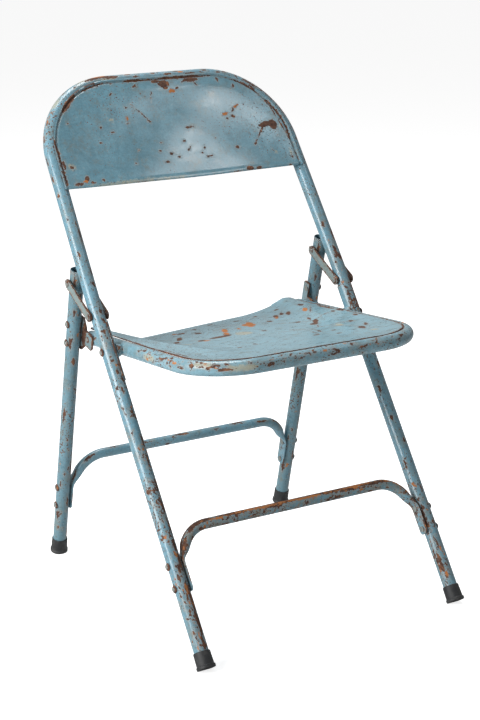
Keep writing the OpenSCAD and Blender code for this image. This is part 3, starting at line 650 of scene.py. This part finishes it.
# painted light: the rail's blue is paler than the frame's same paint, for the light on its top
rail_coat = painted("rail_paint_coat", chips=1.1, specks=1.8, stain=0.95, ragged=0.75,
                    dull=0.85, stretch=(0.8, 1.0, 1.0), paint=(0.215, 0.395, 0.475))
finish_with(seat_tube, rail_coat)

# ------------------------------------------------------------------ Seat pan
# Pressed sheet, welded along its rim to the rails, dished towards the back where the
# sitter's weight goes. The dish has sunk further on the left than on the right. The paint
# is knocked through to rust along the rim, and the dark line there is also painted shade
# of the crevice where the pan meets the rails.

pan_top = 0.008
pan_t = 0.0012
pan_half = 0.1862
pan_front, pan_rear = -0.2372, 0.139
pan_front_r, pan_rear_r = 0.0822, 0.009
rim_lift, rim_run = 0.0034, 40    # m and mm: the sheet curls up over the rails
dish_start, dish_depth, dish_r, dish_flat = -0.179, 0.020, 0.1949, 0.085


def pan_half_at(y):
    """Half width of the pan at y: straight sides with a big arc at the front corners and
    a small one at the rear corners."""
    f = np.clip(pan_front + pan_front_r - y, 0, pan_front_r)
    b = np.clip(y - (pan_rear - pan_rear_r), 0, pan_rear_r)
    return (pan_half - pan_front_r + np.sqrt(np.maximum(pan_front_r ** 2 - f ** 2, 0))
            - pan_rear_r + np.sqrt(np.maximum(pan_rear_r ** 2 - b ** 2, 0)))


def pan_height(x, y):
    """Flat rim; inside it a trough, flat in the middle with round sides, that deepens in
    a straight line from the front to the rear edge and leans down to the left."""
    ease = np.clip((y - dish_start) / (pan_rear - dish_start), 0, 1)
    depth, r = dish_depth * ease, dish_r
    width = np.sqrt(np.maximum(r * r - np.clip(r - depth, 0, r) ** 2, 0))
    over = np.clip(np.abs(x) - dish_flat, 0, r)
    floor = -depth + r - np.sqrt(np.maximum(r * r - over ** 2, 0))
    dished = np.where(over < width, np.minimum(floor, 0), 0.0)
    lean = 0.052 * x * ease * (dished / -dish_depth)
    wave = 0.0010 * np.sin(x * 26 + 0.8) * np.sin(y * 21) * ease
    rear_lip = 0.0012 * np.exp(-((pan_rear - y) / 0.012) ** 2) * (np.abs(x) > 0.15)
    return pan_top + dished + np.where(dished < 0, lean, 0) + wave + rear_lip


rows_t = np.linspace(0, 1, 200)
y_line = pan_front + (pan_rear - pan_front) * (
    0.5 - 0.5 * np.cos(rows_t * math.pi)) * 0.35 + (pan_rear - pan_front) * rows_t * 0.65
cols_t = np.linspace(-1, 1, 205)
y_grid, c_grid = np.meshgrid(y_line, cols_t, indexing="ij")
px_grid = c_grid * pan_half_at(y_grid)
edge_side = (pan_half_at(y_grid) - np.abs(px_grid)) * 1000
front_corner = pan_front_r * 1000 - np.hypot(
    np.maximum(np.abs(px_grid) - (pan_half - pan_front_r), 0),
    np.maximum(pan_front + pan_front_r - y_grid, 0)) * 1000
pan_rim = np.where(y_grid < pan_front + pan_front_r, front_corner, edge_side)
run = np.clip(pan_rim / rim_run, 0, 1)
pan_z = pan_height(px_grid, y_grid) + rim_lift * (1 - run * run * (3 - 2 * run))
xs, ys = px_grid * 1000, y_grid * 1000

# mm across from the middle, mm back from the hinge
seat_marks = marked(
    BROWN,
    (-34, -9, 40, 17, 5), (-18, -4, 12, 16), (112, -50, 12, 16), (122, -38, 8, 28, -30),
    (37, -22, 6, 12), (116, 70, 9, 24, -20), (136, 64, 7, 24, -25), (130, 76, 7, 18, -25),
    (133, -150, 11, 18, -20), (152, -132, 5, 16, -30), (-121, -28, 16, 12),
    (-104, 4, 10, 36, -30), (-76, 46, 9, 36, -30), (-70, -14, 12, 16), (-32, 66, 10, 18),
    (-46, 96, 14, 12), (-15, 108, 8, 10), (90, 48, 8, 14), (108, -8, 8, 12),
    (82, -109, 6, 16, -20), (58, -140, 12, 8), (-44, -130, 4, 12), (-76, -138, 6, 6),
    (86, -158, 8, 7), (98, -126, 9, 7), (170, -15, 6, 10), (128, -10, 4, 20, -20),
    (168, 78, 9, 14), (150, -96, 7, 10), (176, -70, 6, 12), (180, 20, 6, 50),
    (181, -18, 5, 24), (20, 118, 8, 8), (60, 104, 9, 7), (100, 110, 8, 7), (140, 108, 9, 7))
seat_marks += marked(
    ORANGE,
    (-12, 10, 9, 24, -20), (2, 40, 10, 34, -25), (52, 50, 20, 26), (60, 62, 10, 28, -20),
    (48, 36, 10, 14), (112, 62, 6, 14, -20), (156, 45, 7, 20, -20), (-66, -22, 12, 10),
    (-54, 104, 8, 10), (24, 34, 6, 14, -20))
seat_marks += marked(
    CREAM,
    (136, -178, 10, 8), (5, -13, 24, 32), (122, -104, 8, 14), (-108, -36, 14, 12))
pan_strokes = marked(
    BROWN,
    (66, -132, 72, -102, 1.8), (100, -80, 128, -28, 2.0), (78, -120, 88, -84, 1.8),
    (44, -62, 100, -80, 1.5), (100, -80, 152, -104, 1.5), (84, 20, 122, -28, 1.5),
    (128, -28, 162, -14, 1.5), (88, -88, 66, -52, 1.3), (112, -96, 138, -146, 1.4),
    (10, 84, 66, 62, 1.4), (-134, -40, -84, -26, 2.0), (150, 20, 176, 60, 1.8),
    (-176, -165, -178, -100, 2.2))
top_wear = worn_places(xs, ys, seat_marks, pan_strokes)
# rust along the rim, run dark enough to be also painted shade of the crevice at the rails
rim_rust_and_shade = 1.6 - pan_rim * 0.9 + 0.8 * np.sin(xs * 0.09 + ys * 0.05)
rim_rust_and_shade = rim_rust_and_shade + np.where((xs < 0) & (ys < -90) & (ys > -180), 1.6, 0)
top_wear[..., BROWN] = np.maximum(top_wear[..., BROWN],
                                  np.clip(rim_rust_and_shade, -wear_reach, 3))
under_wear = np.full_like(top_wear, -wear_reach)
under_wear[..., BROWN] = np.clip(1.0 - pan_rim * 0.3, -wear_reach, 2)
pan_points, pan_faces = two_sided(in_seat_plane(px_grid, y_grid, pan_z),
                                  in_seat_plane(px_grid, y_grid, pan_z - pan_t))
pan = make_piece("seat_pan_sheet", "seat", ["seat_pan"], pan_points, pan_faces,
                 np.concatenate([top_wear.reshape(-1, 3), under_wear.reshape(-1, 3)]))
# painted light: the pan's blue is paler than the frame's same paint, for the light from above
finish_with(pan, painted("pan_paint_coat", chips=0.8, specks=1.25, stain=0.8, ragged=0.8,
                         at="object", paint=(0.245, 0.425, 0.500)))

# ------------------------------------------------------------------ Rear legs
# Two straight tubes that lean forward and a little inwards, left open at the top,
# where the cut edge has rusted.

rear_foot = np.array([0, 0.22496, 0.002119])
rear_up = np.array([0, -0.2181, 0.9759])
rear_front = np.array([0, -0.9759, -0.2181])
rear_len, rear_toe = 0.5142, 0.008946
in_rear_plane = plane_of(rear_foot, rear_up, rear_front)

# mm along from the foot, mm round from the front
leg_spots = marked(
    BROWN,
    (34, -10, 26, 5), (70, 12, 18, 5), (96, -4, 16, 4), (132, 10, 10, 4), (160, -8, 30, 5),
    (214, 4, 8, 4), (258, 12, 22, 4), (300, -6, 10, 4), (356, 2, 14, 5), (388, 9, 20, 5),
    (410, -9, 22, 6), (440, 6, 14, 5), (470, -3, 12, 4), (492, 8, 16, 5), (503, -6, 10, 6))
leg_spots += marked(ORANGE, (402, -2, 8, 4))
leg_strokes = [(BROWN, 507, -30, 507, 30, 2.6), (BROWN, 60, -16, 170, -17, 2)]
rear_leg_coat = painted("rear_leg_coat", chips=1.25, specks=1.6, stain=1.1,
                        stretch=(0.75, 1.0, 1.0), paint=(0.140, 0.270, 0.330))
for side, name in ((-1, "left"), (1, "right")):
    foot_x = side * (leg_x - (rear_len - foot_gap) * rear_toe)
    leg_path = straight((foot_x, foot_gap), (side * leg_x, rear_len))
    chips_there = sprinkled(10 + side, 40, 14, 500, 0, 14)
    leg = tube_piece(f"rear_leg_tube_{name}", "rear_legs", [f"rear_leg_{name}"],
                     leg_path, in_rear_plane, tube_r, tube_wall, leg_spots + chips_there,
                     leg_strokes)
    finish_with(leg, rear_leg_coat)

# ------------------------------------------------------------------ Cross braces
# Thinner tube with its ends bent down and hammered flat where they are riveted to the
# insides of the legs. The front one has lost much of the paint off its upper side.

brace_r, brace_bend_r, brace_bend = 0.008, 0.0485, 65.0
end_half_t, end_half_w = 0.00155, 0.0100
press_from, press_run = 0.074, 0.034    # pressed flat this far from an end, over this run
end_round, end_narrow = 0.006, 0.58     # the tip narrows to a rounded nose


def bend_to(a, b, step):
    """Smooth run from a, leaving down and outwards, into b, arriving straight down: a
    cubic between them with its two middle points on those directions."""
    a, b = np.asarray(a), np.asarray(b)
    turn, pull = math.radians(brace_bend), 0.35
    leave = np.array([math.cos(turn), -math.sin(turn)])
    gap = np.linalg.norm(b - a)
    c1, c2 = a + leave * gap * pull, b + np.array([0, 1.0]) * gap * pull
    t = np.linspace(0, 1, max(4, int(gap / step)))[:, None]
    return (a * (1 - t) ** 3 + c1 * 3 * t * (1 - t) ** 2 + c2 * 3 * t * t * (1 - t)
            + b * t ** 3)


def brace_path(centre_s, side_x):
    """Straight across the middle, bent down near each side, then down along the leg."""
    bend_x = side_x - brace_r - brace_bend_r
    bend_s = centre_s - brace_bend_r
    flat_x, flat_top, flat_end = side_x - 0.0016, centre_s - 0.050, centre_s - 0.0915
    left = 90 - brace_bend
    knee = (bend_x + brace_bend_r * math.cos(math.radians(left)),
            bend_s + brace_bend_r * math.sin(math.radians(left)))
    half = joined(straight((0.0, centre_s), (bend_x, centre_s)),
                  bend(bend_x, bend_s, brace_bend_r, 90, left, 0.003),
                  bend_to(knee, (flat_x, flat_top), 0.0025),
                  straight((flat_x, flat_top), (flat_x, flat_end), 0.003))
    return np.concatenate([(half * [-1, 1])[::-1], half[1:]])


def brace_piece(name, body, cad_node, place, centre_s, side_x, spots, strokes):
    """Tube along a flat path, round in the middle and pressed to a flat oval at each end:
    the half thickness shrinks and the half width grows as the end comes near."""
    path = brace_path(centre_s, side_x)
    length = travelled(path)
    from_end = np.minimum(length, length[-1] - length)
    press = np.clip((press_from - from_end) / press_run, 0, 1)
    press = press * press * (3 - 2 * press)
    tip = np.clip(from_end / end_round, 0, 1)
    tip = np.sqrt(np.clip(1 - (1 - tip) ** 2, 0, 1)) * (1 - end_narrow) + end_narrow
    thick = brace_r * (1 - press) + end_half_t * press
    wide = (brace_r * (1 - press) + end_half_w * press) * tip
    turns = np.arange(0, 360, 15.0)
    t = np.radians(turns)[None, :]
    power = 1 - 0.45 * press[:, None]
    across = np.sign(np.sin(t)) * np.abs(np.sin(t)) ** power * thick[:, None]
    flat = path[:, None, :] + left_of(path)[:, None, :] * across[..., None]
    ring = place(flat[..., 0], flat[..., 1], np.cos(t) * wide[:, None])
    points = np.concatenate([ring.reshape(-1, 3), ring[0].mean(0)[None],
                             ring[-1].mean(0)[None]])
    n, rows = len(turns), len(path)
    j = np.arange(n)
    last, j2 = (rows - 1) * n, (j + 1) % n
    caps = np.concatenate([np.stack([np.full(n, rows * n), j2, j], 1),
                           np.stack([np.full(n, rows * n + 1), last + j, last + j2], 1)])
    round_mm = np.where(turns > 180, turns - 360, turns) * math.pi / 180 * brace_r * 1000
    u, v = np.meshgrid(length * 1000, round_mm, indexing="ij")
    bare_end = np.array([[0, -wear_reach, -wear_reach]] * 2)
    wear = np.concatenate([worn_places(u, v, spots, strokes).reshape(-1, 3), bare_end])
    along = np.stack(np.broadcast_arrays(length[:, None], brace_r * np.cos(t),
                                         brace_r * np.sin(t)), -1).reshape(-1, 3)
    along = np.concatenate([along, along[:1], along[-1:]])
    return make_piece(name, body, [cad_node], points,
                      grid_faces(rows, n, around=True), wear, along, caps)


# mm along from the left end, mm round from the front, upwards counted up
front_rust = marked(
    BROWN,
    (20, 0, 20, 6), (62, 4, 40, 7), (110, 5, 50, 7), (170, 6, 60, 8), (240, 2, 26, 5),
    (262, 7, 56, 9), (330, 6, 70, 8), (372, 3, 36, 6), (420, 4, 56, 8), (470, 6, 50, 8),
    (505, 2, 30, 7), (540, -2, 26, 8), (200, -4, 10, 3), (290, -7, 8, 3), (350, -6, 10, 3),
    (150, -9, 12, 3), (560, 2, 20, 7), (84, -6, 12, 4), (410, -8, 12, 3))
front_rust += marked(
    ORANGE,
    (140, 3, 34, 4), (215, 5, 60, 5), (300, 4, 46, 5), (392, 6, 44, 5), (452, 5, 30, 5))
front_rust += sprinkled(8, 320, 14, 560, 2, 7)
rear_rust = marked(
    BROWN,
    (20, 0, 20, 6), (60, 9, 18, 4), (96, 8, 22, 5), (140, 12, 26, 3), (200, 9, 16, 3),
    (236, -2, 10, 4), (262, 11, 30, 3), (330, 8, 14, 3), (372, 12, 24, 4), (420, 6, 20, 5),
    (452, 9, 26, 5), (500, 4, 20, 5), (540, 0, 24, 6))
front_brace_s, front_brace_side = 0.2039, 0.20975
front_streaks = [(BROWN, 60, 10, 520, 10, 5.0), (ORANGE, 150, 5, 480, 5, 1.8)]
front_brace = brace_piece("front_brace_tube", "main_frame", "front_brace",
                          in_back_plane, front_brace_s,
                          front_brace_side, front_rust, front_streaks)
finish_with(front_brace, painted("front_brace_coat", chips=1.7, specks=1.7, stain=2.0,
                                 stretch=(0.8, 1.0, 1.0)))
rear_brace_s, rear_brace_side = 0.1747, 0.20588
rear_brace = brace_piece("rear_brace_tube", "rear_legs", "rear_brace",
                         in_rear_plane, rear_brace_s, rear_brace_side, rear_rust,
                         [(BROWN, 80, -20, 500, -20, 3.0)])
finish_with(rear_brace, painted("rear_brace_coat", chips=1.2, specks=1.1, stain=1.0,
                                stretch=(0.8, 1.0, 1.0)))

# ------------------------------------------------------------------ Hinge plates and links
# Stamped steel: saddles welded round the legs at the seat hinge, formed brackets on the
# rear legs and flat links between the legs, all under the same paint, rubbed through to
# rust at their edges.


def mm_along(tree, at, origin, way):
    """Distance of a point from an origin along one direction, in mm."""
    off = node(tree, "ShaderNodeVectorMath", {0: at, 1: tuple(origin)},
               operation="SUBTRACT").outputs[0]
    return node(tree, "ShaderNodeVectorMath", {0: off, 1: tuple(1000 * np.asarray(way))},
                operation="DOT_PRODUCT").outputs["Value"]


def past(tree, value, middle, half):
    """How far a value lies beyond middle plus or minus half."""
    return minus(tree, absolute(tree, minus(tree, value, middle)), half)


def saddle_edges(tree, at):
    """Front and rear edges of the wrap, and its two rounded ends."""
    hinge_s, half_wide, half_long = 489.0, 9.9, 46.8
    up = mm_along(tree, at, front_foot, lean_up)
    out_front = mm_along(tree, at, front_foot, lean_front)
    return most(tree, past(tree, out_front, 0.0, half_wide),
                past(tree, up, hinge_s, half_long))


def bracket_edges(tree, at):
    """Ends of the riveted strip, and the top, bottom and nose of the ear ahead of it."""
    up = mm_along(tree, at, rear_foot, rear_up)
    ahead = mm_along(tree, at, rear_foot, rear_front)
    strip_s, strip_half = 406.2, 25.5
    ear_s, ear_half_tall, ear_mid, ear_half_wide = 400.2, 10.8, 14.0, 18.5
    crease_at, crease_wide, ear_from = 9.5, 2.2, 10.0
    strip = past(tree, up, strip_s, strip_half)
    ear = most(tree, past(tree, up, ear_s, ear_half_tall),
               past(tree, ahead, ear_mid, ear_half_wide))
    crease = minus(tree, crease_wide, past(tree, ahead, crease_at, 0.0))
    on_ear = above(tree, ahead, ear_from)
    picked = node(tree, "ShaderNodeMix", {0: on_ear, 2: strip, 3: ear}, data_type="FLOAT")
    return most(tree, picked.outputs[0], crease)


link_low, link_high = (0.04757, 0.44663), (0.11763, 0.48227)
link_rub = 6.1    # mm from the link's middle line to where the paint is rubbed through


def link_edges(tree, at):
    """Distance from the line between the link's two rivets, less most of its half width."""
    low = np.array([0, *link_low])
    way = np.array([0, *link_high]) - low
    long = np.linalg.norm(way)
    way = way / long
    run = mm_along(tree, at, low, way)
    across = mm_along(tree, at, low, np.array([0, -way[2], way[1]]))
    beyond = most(tree, past(tree, run, long * 500, long * 500), 0.0)
    reach = root(tree, times_plus(tree, beyond, beyond, times(tree, across, across)))
    return minus(tree, reach, link_rub)


saddle_coat = painted("saddle_coat", chips=1.0, specks=0.9, stain=0.9, at="object",
                      edges=saddle_edges, paint=(0.175, 0.335, 0.410))
finish_nodes(saddle_coat, "hinge_saddle_")

bracket_coat = painted("bracket_coat", chips=1.1, specks=1.1, stain=1.0, at="object",
                       edges=bracket_edges, paint=(0.190, 0.290, 0.320))
finish_nodes(bracket_coat, "leg_bracket_")

link_coat = painted("link_coat", chips=1.4, specks=1.2, stain=1.5, at="object",
                    edges=link_edges, paint=(0.205, 0.285, 0.290))
finish_nodes(link_coat, "outer_link_", "inner_link_")

# ------------------------------------------------------------------ Rivets
# Solid steel rivets with pan heads. Paint stays on the faces, rubbed dull, and the
# rims and shanks have rusted where it never held.


def rivet_rims(tree, at):
    """Deeper in rust the more the head's face turns away from sideways."""
    facing = node(tree, "ShaderNodeTexCoord").outputs["Normal"]
    sideways = absolute(tree, node(tree, "ShaderNodeSeparateXYZ", {0: facing}).outputs[0])
    return times(tree, minus(tree, 0.80, sideways), 9.0)


rivet_steel = painted("rivet_steel", chips=1.2, specks=1.1, stain=1.25, at="object",
                      edges=rivet_rims, paint=(0.185, 0.225, 0.222))
finish_nodes(rivet_steel, "seat_pivot_rivet_", "leg_pivot_rivet_", "link_lower_rivet_",
             "link_upper_rivets_", "front_brace_rivets", "rear_brace_rivets",
             "bracket_rivets")

# ------------------------------------------------------------------ Ferrules
# Moulded black rubber cups pushed on the feet, gone matt and grey with dust, and
# scuffed where they meet the floor.


def old_rubber(name):
    """Near black rubber with a dusty bloom, worn greyer towards the floor."""
    made, tree, shader = new_material(name)
    at = node(tree, "ShaderNodeTexCoord").outputs["Object"]
    low = node(tree, "ShaderNodeSeparateXYZ", {0: at}).outputs[2]
    dust = mottle(tree, at, 90.0, 6.0, 0.65)
    near_floor = ramped(tree, low, 0.0, 0.012, 0.55, 0.0)
    amount = plus(tree, ramped(tree, dust, 0.45, 0.75, 0.0, 0.35),
                  times(tree, near_floor, dust))
    color = blended(tree, amount, (0.013, 0.014, 0.016), (0.105, 0.105, 0.100))
    tree.links.new(color, shader.inputs["Base Color"])
    tree.links.new(ramped(tree, dust, 0.3, 0.7, 0.46, 0.68), shader.inputs["Roughness"])
    height = times_plus(tree, mottle(tree, at, 600.0, 3.0), 0.4, dust)
    bump = node(tree, "ShaderNodeBump", {"Height": height, "Strength": 0.6,
                                         "Distance": 0.0003})
    tree.links.new(bump.outputs[0], shader.inputs["Normal"])
    return made


finish_nodes(old_rubber("ferrule_rubber"), "ferrule_front_", "ferrule_rear_")

# ------------------------------------------------------------------ Floor, light and camera
# Plain white floor that keeps the chair's shadow, an even white surround, a big soft
# lamp from the left, one over the seat and a small one that the back panel shines in.

floor_mesh = bpy.data.meshes.new("floor")
floor_mesh.from_pydata([(-30, -30, 0), (30, -30, 0), (30, 30, 0), (-30, 30, 0)], [],
                       [(0, 1, 2, 3)])
floor = new_object("floor", floor_mesh)
white, tree, shader = new_material("floor_white")
shader.inputs["Base Color"].default_value = (0.80, 0.80, 0.80, 1.0)
shader.inputs["Roughness"].default_value = 0.9
shader.inputs["Specular IOR Level"].default_value = 0.0
shader.inputs["Emission Color"].default_value = (1, 1, 1, 1)
seen = node(tree, "ShaderNodeLightPath")
looked_at = most(tree, seen.outputs["Is Camera Ray"], seen.outputs["Is Transmission Ray"])
tree.links.new(times(tree, looked_at, 0.80), shader.inputs["Emission Strength"])
floor_mesh.materials.append(white)

surround = bpy.data.worlds.new("surround")
bpy.context.scene.world = surround
surround.use_nodes = True
tree = surround.node_tree
seen = node(tree, "ShaderNodeLightPath")
looked_at = most(tree, seen.outputs["Is Camera Ray"], seen.outputs["Is Transmission Ray"])
shines = ramped(tree, seen.outputs["Is Glossy Ray"], 0.0, 1.0, 0.17, 0.50)
tree.links.new(most(tree, looked_at, shines), tree.nodes["Background"].inputs["Strength"])
tree.nodes["Background"].inputs["Color"].default_value = (1, 1, 1, 1)


def soft_lamp(name, at, towards, size, watts):
    """Square soft lamp that faces a point."""
    lamp = bpy.data.lights.new(name, "AREA")
    lamp.shape, lamp.size, lamp.energy = "SQUARE", size, watts
    made = new_object(name, lamp)
    made.location = at
    made.rotation_euler = (Vector(towards) - Vector(at)).to_track_quat("-Z", "Y").to_euler()
    return made


soft_lamp("lamp_left", (-2.5, -0.35, 1.5), (0, 0, 0.45), 1.4, 80)
soft_lamp("lamp_over", (0.2, 1.1, 2.7), (0, 0, 0.4), 1.2, 46)
panel_lamp = soft_lamp("lamp_panel", (0.84, -0.55, 1.90), (0.04, 0.18, 0.65), 0.20, 1.5)
panel_lamp.visible_diffuse = False    # it shows in the shine of the paint and nowhere else

camera = bpy.data.cameras.new("camera")
camera.sensor_fit = "VERTICAL"
camera.sensor_height = 36
camera.lens = 85.25
camera.clip_end = 100
camera_object = new_object("camera", camera)
camera_object.location = (-1.2980, -2.1755, 1.1206)
camera_object.rotation_euler = (math.radians(73.2), 0, math.radians(-30.8))
bpy.context.scene.camera = camera_object
bpy.context.scene.view_settings.view_transform = "Standard"
